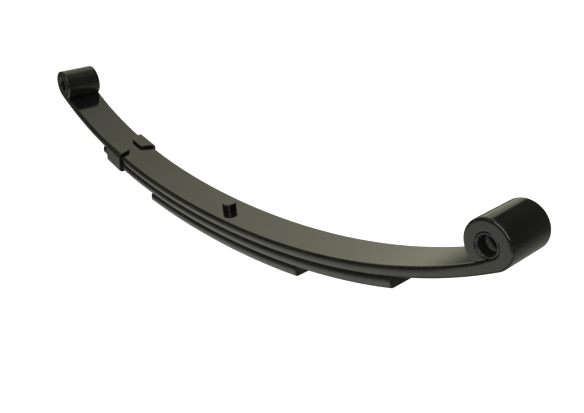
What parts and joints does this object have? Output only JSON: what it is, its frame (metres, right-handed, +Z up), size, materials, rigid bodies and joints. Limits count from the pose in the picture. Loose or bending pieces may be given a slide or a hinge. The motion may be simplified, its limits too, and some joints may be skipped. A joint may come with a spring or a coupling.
{
  "type": "leaf spring",
  "caption": "Three-leaf steel trailer spring with rolled, bushed eyes, a centre bolt and a rebound clip.",
  "frame": {"origin": "on the centre bolt's axis, where it leaves the main leaf's upper face, which is the axle seat", "axes": "+X along the spring to the rear eye, +Y across its width, +Z up out of the axle seat, towards the eyes"},
  "size_m": [0.6977, 0.0508, 0.1451],
  "materials": {
    "leaf_paint": "gloss black dip paint over spring steel",
    "bolt_paint": "gloss black paint over steel",
    "clip_paint": "gloss black paint over steel strap",
    "bush": "moulded black nylon, smooth"
  },
  "bodies": {
    "root": {"main_leaf": "leaf_paint", "second_leaf": "leaf_paint", "third_leaf": "leaf_paint", "front_eye_bush": "bush"},
    "rear_end": {"rear_eye_bush": "bush"},
    "centre": {"centre_bolt": "bolt_paint", "centre_nut": "bolt_paint"},
    "clip": {"rebound_clip": "clip_paint", "clip_rivet": "clip_paint"}
  },
  "joints": [
    {"name": "spring_flex", "type": "hinge", "parent": "root", "child": "rear_end", "pos_m": [0, 0, -0.00475], "axis": [0, 1, 0], "range_deg": [-3, 14], "stiffness_Nm_per_rad": 4800, "deforming": ["main_leaf", "second_leaf", "third_leaf"]},
    {"name": "seat_turn", "type": "hinge", "parent": "root", "child": "centre", "pos_m": [0, 0, -0.00475], "axis": [0, 1, 0], "range_deg": [-1.5, 7]},
    {"name": "clip_turn", "type": "hinge", "parent": "root", "child": "clip", "pos_m": [-0.27455, 0, 0.02063], "axis": [0, 1, 0], "range_deg": [-2.9, 0.62]}
  ],
  "couplings": [
    {"joint": "seat_turn", "follows": "spring_flex", "ratio": 0.5},
    {"joint": "clip_turn", "follows": "spring_flex", "ratio": -0.2064}
  ]
}
